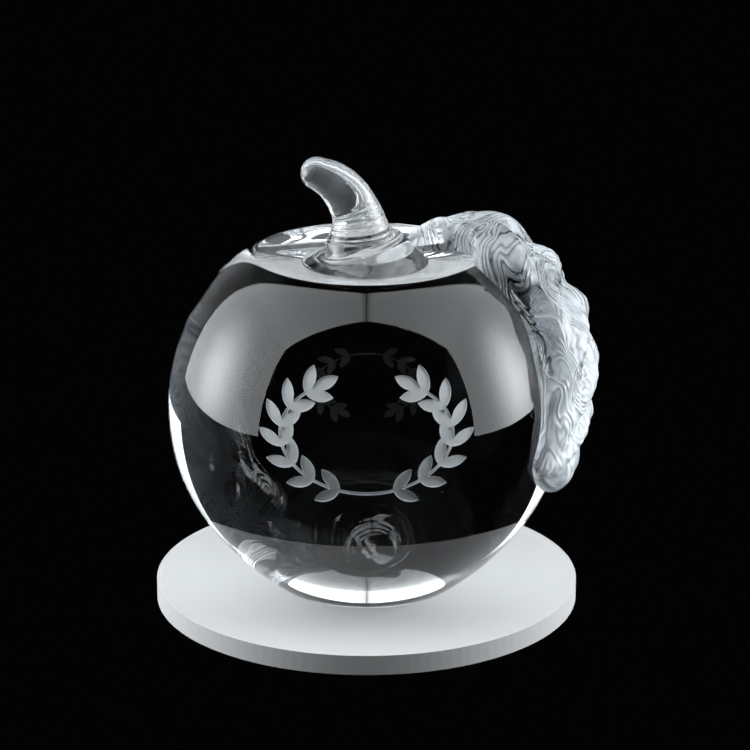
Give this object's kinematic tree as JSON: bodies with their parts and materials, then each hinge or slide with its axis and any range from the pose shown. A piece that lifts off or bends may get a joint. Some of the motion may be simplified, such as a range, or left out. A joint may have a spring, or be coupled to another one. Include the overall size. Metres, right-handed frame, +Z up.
{
  "type": "art glass apple",
  "caption": "Solid clear glass apple paperweight with a curled glass stem, a thick ribbed glass leaf over its shoulder and a frosted wreath on its front.",
  "frame": {"origin": "under the middle of the whole object, on the plane that it stands on", "axes": "+Z up; -Y is the front with the wreath; +X is the side that the leaf covers"},
  "size_m": [0.087, 0.08, 0.088],
  "materials": {
    "clear_crystal": "fire polished, with a shallow sandblasted wreath on the front",
    "stem_glass": "fire polished, with fine tooling folds",
    "leaf_glass": "fire polished, with pressed veins"
  },
  "bodies": {
    "root": {"apple_body": "clear_crystal", "stem": "stem_glass", "leaf": "leaf_glass"}
  },
  "joints": []
}
